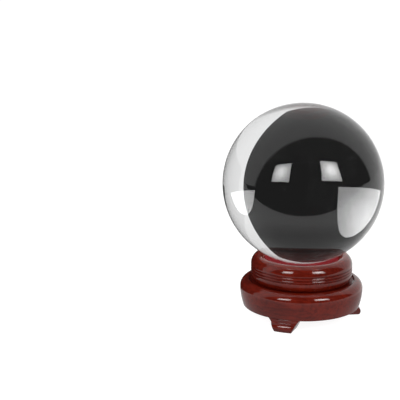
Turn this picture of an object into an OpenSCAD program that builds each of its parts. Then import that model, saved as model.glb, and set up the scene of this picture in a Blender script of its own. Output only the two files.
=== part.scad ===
// Crystal ball on a two-tier turned stand.
// +Z is up. The origin is on the table, under the middle of the stand.
// The front foot points along -Y. The upper tier turns about Z on a thrust bearing,
// and the ball lifts straight up out of its felt seat.

/* [Crystal ball] */
// Diameter of the ball
ball_d = 150; // [148:0.5:152]
// Height of the ball's lowest point above the table
ball_bottom_z = 53.1; // [52.9:0.1:53.5]

/* [Seat ring, the upper tier] */
// Height of the ring's underside
ring_z0 = 36.5; // [36.3:0.1:36.9]
// Radius of the underside's edge
ring_foot_r = 45.3; // [44:0.1:46]
// Largest radius of the ring
ring_r = 47.75; // [47.5:0.05:48.5]
// Height at which the top roll is widest
ring_belly_z = 51.1; // [50.7:0.1:51.7]
// Radius of the roll's outer curve, in section
roll_r = 9.8; // [9.4:0.1:10.2]
// Radius of the roll's crest, in section
crest_r = 6.5; // [6:0.1:7]
// Height of the crest
crest_z = 59.8; // [59.5:0.1:60.1]
// Radius of each fine groove, in section
groove_r = 0.55; // [0.3:0.05:0.6]
// Heights of the three fine grooves
groove_z = [50.2, 47.3, 44.5];

/* [Felt seat] */
// Thickness of the felt
felt_t = 1.2; // [1:0.1:1.4]
// Radius of the recess that holds the felt
felt_r = 34.6; // [34.4:0.1:34.8]
// Height of the felt's top at its edge
felt_edge_z = 56.8; // [56.7:0.1:56.9]
// Radius out to which the felt follows the ball
seat_r = 20; // [19:0.5:21]
// Gap between the ball and the nap of the felt
seat_gap = 0.3; // [0.2:0.05:0.35]

/* [Plinth, the lower tier] */
// Height of the plinth's underside, which is the feet's height
foot_h = 11.7; // [11.5:0.1:12]
// Largest radius of the plinth
plinth_r = 57.75; // [57.5:0.05:58.5]
// Height of the raised rim
plinth_rim_z = 36.8; // [36.7:0.1:36.9]
// Height of the flat top inside the rim
plinth_top_z = 35.7; // [35.5:0.1:35.9]
// Radius of the rounded shoulder, in section
shoulder_r = 7.5; // [7:0.1:8]
// Radius of the bowed wall, in section
wall_r = 54; // [50:1:60]
// Radius of the rounding along the bottom edge
bottom_edge_r = 0.8; // [0.6:0.1:1]

/* [Feet] */
// Inner radius of a foot
foot_in_r = 38; // [36:0.5:40]
// Radius of a foot's upper face, flush with the plinth's wall
foot_face_r = 54.3; // [54:0.1:54.6]
// Largest radius of the toe
toe_r = 57.1; // [56.5:0.1:57.5]
// Height at which the toe is widest
toe_z = 3.4; // [3:0.1:4]
// Radius of the toe's bulge, in section
toe_bulge_r = 5.5; // [5:0.1:6]
// Width of a foot at the top, at the ledge and at the sole
foot_w = [29.8, 24.2, 16.2];
// Height of the ledge on a foot's sides
foot_ledge_z = 8.2; // [7.5:0.1:9]

/* [Thrust bearing] */
// Number of bearing balls
bearing_count = 12; // [10:1:12]
// Diameter of a bearing ball
bearing_ball_d = 5.5; // [5.3:0.1:5.6]
// Radius of the circle on which the balls run
pitch_r = 13.5; // [13.3:0.1:13.6]
// Outer and inner radius of both races
race_r = [17.5, 9.5];
// Thickness of a race
race_t = 3; // [2.8:0.1:3]
// Gap between a ball and its groove
race_gap = 0.15; // [0.1:0.05:0.2]

/* [Pivot] */
// Diameter of the pivot bolt's shank
bolt_d = 6; // [5.8:0.1:6]
// Diameter of the bolt's domed head
bolt_head_d = 13.2; // [12.8:0.1:13.4]
// Height of the bolt's domed head
bolt_head_h = 3.3; // [3:0.1:3.4]
// Width of the square neck under the head
bolt_neck_w = 6.2; // [6.1:0.1:6.4]
// Length of the square neck
bolt_neck_h = 3.4; // [3:0.1:3.6]
// Running gap between the bolt and its bush
pivot_gap = 0.06; // [0.03:0.01:0.1]
// Width of the lock nut across its flats
nut_w = 10; // [9.8:0.1:10]
// Height of the lock nut
nut_h = 5; // [4.8:0.1:5]

/* [Foot screws] */
// Diameter of a screw's shank
screw_d = 3.5; // [3:0.1:3.6]
// Diameter of a screw's countersunk head
screw_head_d = 6.8; // [6.4:0.1:7]
// Length of a screw
screw_l = 22; // [20:0.5:23]
// Depth at which a head sits above the sole
screw_sink = 0.8; // [0.5:0.1:1]

/* [Hidden] */
$fn = 96;
EPS = 0.01;
BIG = 200;

ball_r = ball_d / 2;
ball_z = ball_bottom_z + ball_r;
seat_sphere_r = ball_r + seat_gap;

// The roll's outer curve and crest touch where both have the same tangent.
roll_c = [ring_r - roll_r, ring_belly_z];
roll_turn = asin((crest_z - crest_r - ring_belly_z) / (roll_r - crest_r));
crest_c = roll_c + (roll_r - crest_r) * [cos(roll_turn), sin(roll_turn)];

// The curve under the grooves runs from the ring's side in to its underside.
ring_under_z = groove_z[2] - 1.4;
ring_side_r = ring_r - 0.15;
under_in = ring_side_r - ring_foot_r;
under_drop = ring_under_z - ring_z0;
ring_under_r = (under_in * under_in + under_drop * under_drop) / (2 * under_in);

shoulder_c = [plinth_r - shoulder_r, plinth_rim_z - shoulder_r];
wall_c = [plinth_r - wall_r, shoulder_c[1]];

// The bearing lies half in the plinth and half in the ring.
bearing_gap = 4;
race_lo_z = plinth_top_z - bearing_gap - race_t;
race_hi_z = plinth_top_z;
bearing_z = race_lo_z + race_t + bearing_gap / 2;
groove_ball_r = bearing_ball_d / 2 + race_gap;
cage_r = [16.4, 10.8];
cage_t = 1.6;

// Heights down the pivot, from the bolt's head to its end.
bolt_seat_z = 47.7;
head_bore_r = bolt_head_d / 2 + 0.6;
bolt_end_z = 12.4;
bush_r = 4.5;
bush_flange_r = 8;
bush_flange_t = 1.2;
nut_bore_r = 9;
nut_bore_z = 21;
bush_z0 = nut_bore_z - bush_flange_t;
nut_washer_t = 1.6;
nut_washer_z = bush_z0 - 0.2 - nut_washer_t;
nut_z = nut_washer_z - nut_h;

screw_r = 47;
screw_head_h = 2.2;

FOOT_NAMES = ["front", "right", "left"];
FOOT_ANGLES = [0, 120, 240];
FEET = [0, 1, 2];
BEARING_BALLS = [for (i = [1 : bearing_count]) i];

// ---- Shared shapes ----

// A rectangle of a turned section, from radius r0 to r1 and from height z0 to z1.
module band(r0, r1, z0, z1) {
    translate([r0, z0]) square([r1 - r0, z1 - z0]);
}

// A round of a turned section.
module round_at(c, r) {
    translate(c) circle(r);
}

// A plain disc or tube standing on height z.
module tube(r_out, r_in, z, h) {
    translate([0, 0, z]) difference() {
        cylinder(r = r_out, h = h);
        translate([0, 0, -EPS]) cylinder(r = r_in, h = h + 2 * EPS);
    }
}

// The ring-shaped groove that the bearing balls run in.
module ball_track() {
    rotate_extrude() round_at([pitch_r, bearing_z], groove_ball_r);
}

// Turns a foot, or a screw, from the front to its own place.
module at_foot(i) {
    rotate([0, 0, FOOT_ANGLES[i]]) children();
}

// A countersunk screw's outline, pointing up from the sole.
module screw_body(grow = 0) {
    translate([0, -screw_r, screw_sink]) {
        cylinder(d1 = screw_head_d + 2 * grow, d2 = screw_d + 2 * grow, h = screw_head_h);
        cylinder(d = screw_d + 2 * grow, h = screw_l - 4);
        translate([0, 0, screw_l - 4]) cylinder(d1 = screw_d + 2 * grow, d2 = 0.8, h = 4);
    }
}

// ---- Crystal ball ----

module crystal_ball() {
    color([0.86, 0.9, 0.92, 0.5])
        translate([0, 0, ball_z]) sphere(ball_r, $fn = 160);
}

// ---- Upper tier ----

// Everything under the felt's top: a shallow slope, and a hollow that fits the ball.
module seat_section(drop) {
    edge_z = felt_edge_z - drop;
    rim_z = ball_z - sqrt(seat_sphere_r * seat_sphere_r - seat_r * seat_r) - drop;
    difference() {
        polygon([[0, 0], [felt_r, 0], [felt_r, edge_z], [seat_r, rim_z], [0, rim_z]]);
        round_at([0, ball_z - drop], seat_sphere_r);
    }
}

module seat_lining() {
    color([0.55, 0.03, 0.06]) rotate_extrude() difference() {
        seat_section(0);
        seat_section(felt_t);
    }
}

module ring_section() {
    difference() {
        union() {
            band(0, crest_c[0], ring_z0, crest_c[1]);
            round_at(crest_c, crest_r);
            intersection() {
                round_at(roll_c, roll_r);
                polygon([
                    roll_c,
                    roll_c + BIG * [cos(roll_turn), sin(roll_turn)],
                    roll_c + BIG * [1, 0]
                ]);
            }
            band(0, ring_side_r, ring_under_z, ring_belly_z);
            for (i = [0, 1]) {
                round_at([ring_r - 1.2, (groove_z[i] + groove_z[i + 1]) / 2], 1.2);
            }
            intersection() {
                round_at([ring_side_r - ring_under_r, ring_under_z], ring_under_r);
                band(0, BIG, ring_z0, ring_under_z);
            }
        }
        for (z = groove_z) round_at([ring_r, z], groove_r);
        difference() {
            band(0, felt_r, 0, BIG);
            seat_section(felt_t);
        }
    }
}

module seat_ring() {
    color([0.36, 0.09, 0.07]) difference() {
        rotate_extrude() ring_section();
        translate([0, 0, ring_z0 - EPS])
            cylinder(r = race_r[0], h = race_hi_z + race_t - ring_z0 + EPS);
        cylinder(d = bolt_d + 0.4, h = BIG);
        translate([0, 0, bolt_seat_z]) cylinder(r = head_bore_r, h = BIG);
        translate([-bolt_neck_w / 2, -bolt_neck_w / 2, bolt_seat_z - bolt_neck_h])
            cube([bolt_neck_w, bolt_neck_w, bolt_neck_h + EPS]);
    }
}

// ---- Lower tier ----

module plinth_section() {
    wall_edge_z = foot_h + bottom_edge_r;
    wall_edge_r = wall_c[0] + sqrt(wall_r * wall_r - pow(wall_c[1] - wall_edge_z, 2));
    difference() {
        union() {
            band(0, shoulder_c[0], shoulder_c[1], plinth_rim_z);
            round_at(shoulder_c, shoulder_r);
            intersection() {
                round_at(wall_c, wall_r);
                band(0, BIG, wall_edge_z, wall_c[1]);
            }
            band(0, wall_edge_r - bottom_edge_r, foot_h, wall_c[1]);
            round_at([wall_edge_r - bottom_edge_r, wall_edge_z], bottom_edge_r);
        }
        polygon([
            [0, plinth_top_z],
            [shoulder_c[0] - 2.2, plinth_top_z],
            [shoulder_c[0] - 0.4, plinth_rim_z],
            [shoulder_c[0] - 0.4, BIG],
            [0, BIG]
        ]);
    }
}

module plinth() {
    color([0.33, 0.08, 0.06]) difference() {
        rotate_extrude() plinth_section();
        translate([0, 0, race_lo_z]) cylinder(r = race_r[0], h = BIG);
        cylinder(r = bush_r, h = BIG);
        cylinder(r = nut_bore_r, h = nut_bore_z);
        for (i = FEET) at_foot(i) screw_body();
    }
}

// A foot's section from its inner side to its toe.
module foot_section() {
    intersection() {
        union() {
            band(foot_in_r, foot_face_r, 0, foot_h);
            round_at([toe_r - toe_bulge_r, toe_z], toe_bulge_r);
        }
        band(foot_in_r, BIG, 0, foot_h);
    }
}

// A foot seen from outside: wide under the plinth and narrow at the sole.
module foot_front_view() {
    polygon([
        [-foot_w[0] / 2, foot_h],
        [-foot_w[1] / 2, foot_ledge_z],
        [-foot_w[2] / 2, 0],
        [foot_w[2] / 2, 0],
        [foot_w[1] / 2, foot_ledge_z],
        [foot_w[0] / 2, foot_h]
    ]);
}

module foot(i) {
    color([0.33, 0.08, 0.06]) at_foot(i) difference() {
        intersection() {
            rotate_extrude() foot_section();
            rotate([90, 0, 0]) linear_extrude(BIG) foot_front_view();
        }
        screw_body();
        translate([0, -screw_r, -EPS]) cylinder(d = screw_head_d, h = screw_sink + 2 * EPS);
    }
}

module foot_screw(i) {
    color([0.72, 0.6, 0.32]) at_foot(i) difference() {
        screw_body();
        translate([0, -screw_r, screw_sink]) for (a = [0, 90]) rotate([0, 0, a])
            translate([-1.7, -0.4, -EPS]) cube([3.4, 0.8, 1.3]);
    }
}

// ---- Pivot ----

module pivot_bolt() {
    dome_r = (pow(bolt_head_d / 2, 2) + pow(bolt_head_h, 2)) / (2 * bolt_head_h);
    color([0.7, 0.71, 0.72]) {
        translate([0, 0, bolt_end_z]) cylinder(d = bolt_d, h = bolt_seat_z - bolt_end_z);
        translate([-bolt_neck_w / 2, -bolt_neck_w / 2, bolt_seat_z - bolt_neck_h])
            cube([bolt_neck_w, bolt_neck_w, bolt_neck_h]);
        rotate_extrude() intersection() {
            round_at([0, bolt_seat_z + bolt_head_h - dome_r], dome_r);
            band(0, BIG, bolt_seat_z, BIG);
        }
    }
}

module pivot_bush() {
    bore_r = bolt_d / 2 + pivot_gap;
    color([0.9, 0.9, 0.86]) {
        tube(bush_r, bore_r, nut_bore_z, race_lo_z - nut_bore_z);
        tube(bush_flange_r, bore_r, bush_z0, bush_flange_t);
    }
}

module nut_washer() {
    color([0.7, 0.71, 0.72]) tube(6.2, bolt_d / 2, nut_washer_z, nut_washer_t);
}

module lock_nut() {
    color([0.7, 0.71, 0.72]) difference() {
        translate([0, 0, nut_z]) cylinder(d = nut_w / cos(30), h = nut_h, $fn = 6);
        cylinder(d = bolt_d, h = BIG);
    }
}

// ---- Thrust bearing ----

module upper_race() {
    color([0.62, 0.64, 0.66]) difference() {
        tube(race_r[0], race_r[1], race_hi_z, race_t);
        ball_track();
    }
}

module lower_race() {
    color([0.62, 0.64, 0.66]) difference() {
        tube(race_r[0], race_r[1], race_lo_z, race_t);
        ball_track();
    }
}

module bearing_cage() {
    color([0.78, 0.62, 0.3]) difference() {
        tube(cage_r[0], cage_r[1], bearing_z - cage_t / 2, cage_t);
        for (i = BEARING_BALLS) rotate([0, 0, i * 360 / bearing_count])
            translate([pitch_r, 0, 0]) cylinder(d = bearing_ball_d + 0.2, h = BIG);
    }
}

module bearing_ball(i) {
    color([0.75, 0.77, 0.8]) rotate([0, 0, i * 360 / bearing_count])
        translate([pitch_r, 0, bearing_z]) sphere(d = bearing_ball_d, $fn = 32);
}

// ---- Nodes ----

crystal_ball();
seat_lining();
seat_ring();
plinth();
for (i = FEET) foot(i);
for (i = FEET) foot_screw(i);
pivot_bolt();
pivot_bush();
nut_washer();
lock_nut();
upper_race();
lower_race();
bearing_cage();
for (i = BEARING_BALLS) bearing_ball(i);
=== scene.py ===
"""The looks of a crystal ball on a turned, lacquered stand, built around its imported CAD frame.

The ball, the felt, both tiers of the stand and the small turned metal pieces are lathe work: each has a
section, which one Geometry Nodes tree turns round the stand's axis. Lengths written here are in
millimetres unless they come from the frame, which is in metres.
"""

import logging
import math
from dataclasses import dataclass, field
from enum import Enum
from typing import Any, Iterable, Sequence

import bmesh
import bpy
from mathutils import Matrix, Vector


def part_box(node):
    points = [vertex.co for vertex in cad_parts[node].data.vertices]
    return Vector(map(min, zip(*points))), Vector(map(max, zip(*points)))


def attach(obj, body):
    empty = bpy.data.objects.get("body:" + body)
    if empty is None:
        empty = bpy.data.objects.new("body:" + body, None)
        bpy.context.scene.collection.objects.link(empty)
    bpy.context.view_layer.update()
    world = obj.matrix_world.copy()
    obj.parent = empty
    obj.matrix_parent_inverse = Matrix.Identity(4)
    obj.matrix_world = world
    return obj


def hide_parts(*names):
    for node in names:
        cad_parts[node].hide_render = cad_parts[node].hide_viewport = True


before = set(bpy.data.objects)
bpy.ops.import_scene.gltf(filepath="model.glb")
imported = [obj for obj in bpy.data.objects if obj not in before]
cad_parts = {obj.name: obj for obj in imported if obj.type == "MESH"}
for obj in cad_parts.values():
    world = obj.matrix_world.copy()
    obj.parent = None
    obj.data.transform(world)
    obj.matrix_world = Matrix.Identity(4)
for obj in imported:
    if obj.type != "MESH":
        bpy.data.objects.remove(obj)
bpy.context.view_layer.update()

LOG = logging.getLogger("crystal_ball")
MM = 0.001
Colour = tuple[float, float, float]


class Body(Enum):
    """The moving bodies of the frame."""

    BASE = "base"
    TURNTABLE = "turntable"
    CAGE = "cage"
    BALL = "ball"


class Slot(Enum):
    """The record's material slots."""

    CRYSTAL = "crystal"
    FELT = "red_felt"
    WOOD = "lacquered_wood"
    SCREW = "brass_screw"
    ZINC = "zinc_steel"
    STEEL = "bearing_steel"
    CAGE = "cage_brass"
    NYLON = "nylon"


class Direction(Enum):
    """The places of the three feet, as turns from the front in degrees."""

    FRONT = 0
    RIGHT = 120
    LEFT = 240

    @property
    def word(self) -> str:
        """The foot's name in the frame."""
        return self.name.lower()


# ---- Node trees -------------------------------------------------------------------------------------


class Signal:
    """One output socket, with the arithmetic that numbers need."""

    def __init__(self, graph: "Graph", socket: bpy.types.NodeSocket) -> None:
        """Wraps a socket of a graph.

        Args:
            graph: the graph that the socket belongs to.
            socket: the output socket.
        """
        self.graph = graph
        self.socket = socket

    def math(self, operation: str, *others: Any) -> "Signal":
        """Adds a Math node whose first input is this signal.

        Args:
            operation: the Math node's operation.
            others: its other inputs, as numbers or signals.

        Returns:
            The node's result.
        """
        return self.graph.math(operation, self, *others)

    def __add__(self, other: Any) -> "Signal":
        """self + other."""
        return self.graph.math("ADD", self, other)

    __radd__ = __add__

    def __sub__(self, other: Any) -> "Signal":
        """self - other."""
        return self.graph.math("SUBTRACT", self, other)

    def __rsub__(self, other: Any) -> "Signal":
        """other - self."""
        return self.graph.math("SUBTRACT", other, self)

    def __mul__(self, other: Any) -> "Signal":
        """self * other."""
        return self.graph.math("MULTIPLY", self, other)

    __rmul__ = __mul__

    def __truediv__(self, other: Any) -> "Signal":
        """self / other."""
        return self.graph.math("DIVIDE", self, other)

    def __rtruediv__(self, other: Any) -> "Signal":
        """other / self."""
        return self.graph.math("DIVIDE", other, self)

    def __mod__(self, other: Any) -> "Signal":
        """self modulo other, never negative."""
        return self.graph.math("FLOORED_MODULO", self, other)

    def __pow__(self, other: Any) -> "Signal":
        """self to the power of other."""
        return self.graph.math("POWER", self, other)

    def ramp(self, low: float, high: float) -> "Signal":
        """A smooth step from 0 at low to 1 at high.

        Args:
            low: the value that gives 0.
            high: the value that gives 1.

        Returns:
            The smoothed signal.
        """
        inputs = {"Value": self, "From Min": low, "From Max": high}
        return self.graph.node("ShaderNodeMapRange", {"interpolation_type": "SMOOTHSTEP"}, inputs)["Result"]


@dataclass(frozen=True)
class Placed:
    """A node that has been added to a graph."""

    graph: "Graph"
    node: bpy.types.Node

    def __getitem__(self, name: str | int) -> Signal:
        """The node's output of that name or place."""
        return Signal(self.graph, self.graph.find(self.node.outputs, name))


class Graph:
    """Adds nodes to one node tree, each in a single call."""

    def __init__(self, tree: bpy.types.NodeTree) -> None:
        """Wraps a tree.

        Args:
            tree: the node tree to add to.
        """
        self.tree = tree

    @staticmethod
    def find(sockets: Iterable[bpy.types.NodeSocket], name: str | int) -> bpy.types.NodeSocket:
        """A socket by its place, its identifier or its name.

        Args:
            sockets: the node's inputs or outputs.
            name: a place, an identifier, or the name of a socket that is in use.

        Returns:
            The socket.
        """
        if isinstance(name, int):
            return sockets[name]
        listed = list(sockets)
        by_identifier = [s for s in listed if s.identifier == name and s.enabled]
        by_name = [s for s in listed if s.name == name and s.enabled]
        return (by_identifier + by_name)[0]

    def node(self, kind: str, settings: dict[str, Any] | None = None, inputs: dict | None = None) -> Placed:
        """Adds a node.

        Args:
            kind: the node's type.
            settings: properties of the node, set before its inputs.
            inputs: values or signals for its inputs, by name, identifier or place.

        Returns:
            The node, which gives its outputs by name.
        """
        node = self.tree.nodes.new(kind)
        for key, value in (settings or {}).items():
            setattr(node, key, value)
        for name, value in (inputs or {}).items():
            socket = self.find(node.inputs, name)
            if isinstance(value, Signal):
                self.tree.links.new(value.socket, socket)
            else:
                socket.default_value = value
        return Placed(self, node)

    def math(self, operation: str, *values: Any) -> Signal:
        """Adds a Math node.

        Args:
            operation: the node's operation.
            values: its inputs, as numbers or signals.

        Returns:
            The node's result.
        """
        return self.node("ShaderNodeMath", {"operation": operation}, dict(enumerate(values)))[0]

    def blend(self, factor: Any, low: Any, high: Any) -> Signal:
        """Mixes two colours.

        Args:
            factor: 0 for low and 1 for high, as a number or a signal.
            low: a colour or a signal.
            high: a colour or a signal.

        Returns:
            The mixed colour.
        """
        inputs = {"Factor_Float": factor, "A_Color": opaque(low), "B_Color": opaque(high)}
        return self.node("ShaderNodeMix", {"data_type": "RGBA"}, inputs)["Result_Color"]


def opaque(colour: Any) -> Any:
    """A colour with its alpha added; a signal is passed through."""
    return colour if isinstance(colour, Signal) else (*colour, 1.0)


def grey(tone: float) -> Colour:
    """A grey of one tone."""
    return (tone, tone, tone)


# ---- Finishes ---------------------------------------------------------------------------------------


class Surface(Graph):
    """The shader graph of one material, with a Principled shader at its end."""

    def __init__(self, name: str, fixed: dict[str, Any]) -> None:
        """Makes the material.

        Args:
            name: the material's name.
            fixed: the Principled inputs that are the same all over the surface.
        """
        self.material = bpy.data.materials.new(name)
        self.material.use_nodes = True
        super().__init__(self.material.node_tree)
        self.shader = self.tree.nodes["Principled BSDF"]
        for key, value in fixed.items():
            self.shader.inputs[key].default_value = value

    def feed(self, **signals: Signal) -> None:
        """Links what varies over the surface to the shader; Base_Color stands for Base Color."""
        for key, signal in signals.items():
            self.tree.links.new(signal.socket, self.shader.inputs[key.replace("_", " ")])

    def place(self) -> Signal:
        """Where a point lies on the object, in metres."""
        return self.node("ShaderNodeTexCoord")["Object"]

    def stretched(self, scale: Sequence[float], offset: Sequence[float] = (0, 0, 0)) -> Signal:
        """Object coordinates, stretched along each axis.

        Args:
            scale: the three factors.
            offset: how far the pattern is shifted, after stretching.

        Returns:
            The vector for a texture.
        """
        inputs = {"Vector": self.place(), "Scale": tuple(scale), "Location": tuple(offset)}
        return self.node("ShaderNodeMapping", None, inputs)["Vector"]

    def noise(self, vector: Signal, scale: float, detail: float = 3.0, rough: float = 0.5) -> Signal:
        """Cloudy noise from 0 to 1.

        Args:
            vector: the texture coordinates.
            scale: features per metre of the coordinates.
            detail: the number of finer octaves.
            rough: the strength of the finer octaves.

        Returns:
            The noise.
        """
        inputs = {"Vector": vector, "Scale": scale, "Detail": detail, "Roughness": rough}
        return self.node("ShaderNodeTexNoise", None, inputs)["Fac"]

    def bumped(self, height: Signal, distance: float, strength: float = 1.0) -> Signal:
        """A surface normal raised by a height.

        Args:
            height: the height, about 0 to 1.
            distance: the height in metres that 1 stands for.
            strength: how much of it is shown.

        Returns:
            The bent normal.
        """
        inputs = {"Height": height, "Distance": distance, "Strength": strength}
        return self.node("ShaderNodeBump", None, inputs)["Normal"]


@dataclass(frozen=True)
class CrystalFinish:
    """Polished clear optical glass with the faintest handling marks."""

    ior: float = 1.52
    clear: Colour = (1.0, 1.0, 1.0)
    tinted: Colour = (0.985, 0.992, 0.995)
    smudge_roughness: float = 0.012

    def material(self) -> bpy.types.Material:
        """Builds the glass."""
        glass = Surface("crystal_glass", {"IOR": self.ior, "Transmission Weight": 1.0, "Roughness": 0.0})
        cloud = glass.noise(glass.place(), 9.0, detail=2.0)
        smear = glass.noise(glass.stretched((60, 25, 90)), 1.0, detail=4.0).ramp(0.62, 0.8)
        glass.feed(
            Base_Color=glass.blend(cloud, self.clear, self.tinted),
            Roughness=smear * self.smudge_roughness,
        )
        return glass.material


@dataclass(frozen=True)
class FeltFinish:
    """Short-napped red felt: soft, matt and a little uneven in its dye."""

    # Both tones are darker than the felt's own red: they paint in the shade of the ball, which casts no
    # shadow.
    deep: Colour = (0.105, 0.0016, 0.0035)
    bright: Colour = (0.235, 0.0040, 0.0085)
    sheen_tint: Colour = (1.0, 0.20, 0.24)

    def material(self) -> bpy.types.Material:
        """Builds the felt."""
        fixed = {
            "Roughness": 0.95,
            "Specular IOR Level": 0.15,
            "Sheen Weight": 0.05,
            "Sheen Roughness": 0.45,
            "Sheen Tint": opaque(self.sheen_tint),
        }
        felt = Surface("red_felt", fixed)
        fibres = felt.noise(felt.place(), 1600.0, detail=4.0, rough=0.65)
        tufts = felt.noise(felt.place(), 420.0, detail=3.0)
        dye = felt.noise(felt.place(), 45.0)
        tone = fibres * 0.45 + tufts * 0.35 + dye * 0.2
        felt.feed(
            Base_Color=felt.blend(tone.ramp(0.3, 0.7), self.deep, self.bright),
            Normal=felt.bumped(fibres * 0.6 + tufts * 0.4, 0.5 * MM, 0.8),
        )
        return felt.material


@dataclass(frozen=True)
class LacquerFinish:
    """Turned wood under dark red-brown stain and a gloss lacquer.

    Grooves and hollows get painted shade: a darker tone and less gloss. Crests are lighter where the
    stain is worn thin. The turned pieces mark both in one attribute, from -1 in a groove to 1 on a crest.
    """

    # The darkest tone is both the stain in the pores and the painted shade in grooves and hollows.
    pore_stain_and_shade: Colour = (0.034, 0.0020, 0.0008)
    dark: Colour = (0.076, 0.0042, 0.0014)
    light: Colour = (0.150, 0.0098, 0.0031)
    worn: Colour = (0.215, 0.022, 0.0080)
    grain_run: tuple[float, float, float] = (35.0, 520.0, 420.0)
    pore_run: tuple[float, float, float] = (160.0, 2400.0, 1900.0)

    def material(self) -> bpy.types.Material:
        """Builds the lacquered wood."""
        fixed = {"Coat Roughness": 0.032, "Coat IOR": 1.5, "Specular IOR Level": 0.03}
        wood = Surface("lacquered_wood", fixed)
        sway = wood.noise(wood.place(), 28.0, detail=2.0)
        grain = wood.noise(wood.stretched(self.grain_run), 1.0, detail=5.0, rough=0.6)
        pores = wood.noise(wood.stretched(self.pore_run), 1.0, detail=2.0).ramp(0.58, 0.72)
        wear_and_shade = wood.node("ShaderNodeAttribute", {"attribute_name": "wear_and_shade"})["Fac"]
        tone = (grain * 0.65 + sway * 0.35).ramp(0.36, 0.66)
        stain = wood.blend(tone, self.dark, self.light)
        stain = wood.blend(pores * 0.45, stain, self.pore_stain_and_shade)
        # Painted shade: where the attribute is below 0, in grooves and hollows, the tone darkens and the
        # gloss is cut.
        hollow = wear_and_shade * -1.0
        hollow_gloss_shade = hollow.ramp(0.6, 0.9)
        stain = wood.blend(hollow.ramp(0.0, 1.0) * 0.3, stain, self.pore_stain_and_shade)
        rub = wood.noise(wood.place(), 260.0, detail=4.0).ramp(0.35, 0.7)
        rubbed = wear_and_shade.ramp(0.2, 1.0) * rub * 0.2
        stain = wood.blend(wear_and_shade.ramp(0.1, 1.0) * rub * 0.55, stain, self.worn)
        ripple = wood.noise(wood.stretched((55, 55, 900)), 1.0, detail=2.0)
        orange_peel = wood.noise(wood.place(), 700.0, detail=1.0)
        wood.feed(
            Base_Color=stain,
            Roughness=0.34 + grain * 0.12,
            Coat_Weight=0.8 - pores * 0.12 - rubbed - hollow_gloss_shade * 0.5,
            Normal=wood.bumped(ripple * 0.55 + orange_peel * 0.3 - pores * 0.15, 0.035 * MM, 1.0),
        )
        return wood.material


class Streak(Enum):
    """How a metal's fine marks run."""

    TURNED = (40.0, 40.0, 5200.0)
    CLOUDED = (480.0, 480.0, 480.0)
    LAPPED = (2200.0, 2200.0, 2200.0)


@dataclass(frozen=True)
class MetalFinish:
    """Bare or plated metal with fine marks and slight tarnish."""

    name: str
    bright: Colour
    dull: Colour
    roughness: float
    streak: Streak
    mark: float = 0.012

    def material(self) -> bpy.types.Material:
        """Builds the metal."""
        metal = Surface(self.name, {"Metallic": 1.0})
        marks = metal.noise(metal.stretched(self.streak.value), 1.0, detail=3.0)
        tarnish = metal.noise(metal.place(), 190.0, detail=4.0).ramp(0.4, 0.75)
        metal.feed(
            Base_Color=metal.blend(tarnish, self.bright, self.dull),
            Roughness=self.roughness + tarnish * 0.12 + marks * 0.06,
            Normal=metal.bumped(marks, self.mark * MM),
        )
        return metal.material


@dataclass(frozen=True)
class NylonFinish:
    """Natural nylon, cloudy and faintly waxy."""

    pale: Colour = (0.80, 0.79, 0.72)
    yellowed: Colour = (0.68, 0.65, 0.54)

    def material(self) -> bpy.types.Material:
        """Builds the nylon."""
        fixed = {"Subsurface Weight": 0.15, "Subsurface Scale": 0.002, "Specular IOR Level": 0.45}
        nylon = Surface("natural_nylon", fixed)
        cloud = nylon.noise(nylon.place(), 220.0, detail=3.0)
        lathe_marks = nylon.noise(nylon.stretched(Streak.TURNED.value), 1.0, detail=2.0)
        nylon.feed(
            Base_Color=nylon.blend(cloud.ramp(0.35, 0.7), self.pale, self.yellowed),
            Roughness=0.38 + cloud * 0.15,
            Normal=nylon.bumped(lathe_marks, 0.02 * MM),
        )
        return nylon.material


@dataclass
class Finishes:
    """Every finish of the object, each built once, by the slot that names it."""

    made: dict[Slot, bpy.types.Material] = field(default_factory=dict)

    RECIPES = {
        Slot.CRYSTAL: CrystalFinish(),
        Slot.FELT: FeltFinish(),
        Slot.WOOD: LacquerFinish(),
        Slot.SCREW: MetalFinish(
            "satin_brass", (0.74, 0.55, 0.24), (0.42, 0.29, 0.11), 0.26, Streak.TURNED
        ),
        Slot.ZINC: MetalFinish(
            "bright_zinc", (0.66, 0.68, 0.71), (0.44, 0.46, 0.48), 0.28, Streak.CLOUDED
        ),
        Slot.STEEL: MetalFinish(
            "ground_steel", (0.60, 0.61, 0.63), (0.42, 0.42, 0.43), 0.14, Streak.LAPPED, 0.004
        ),
        Slot.CAGE: MetalFinish(
            "pressed_brass", (0.70, 0.50, 0.20), (0.48, 0.33, 0.13), 0.30, Streak.CLOUDED
        ),
        Slot.NYLON: NylonFinish(),
    }

    def get(self, slot: Slot) -> bpy.types.Material:
        """The material of a slot, built at its first use."""
        if slot not in self.made:
            self.made[slot] = self.RECIPES[slot].material()
        return self.made[slot]


# ---- Sections and the lathe -------------------------------------------------------------------------


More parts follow.
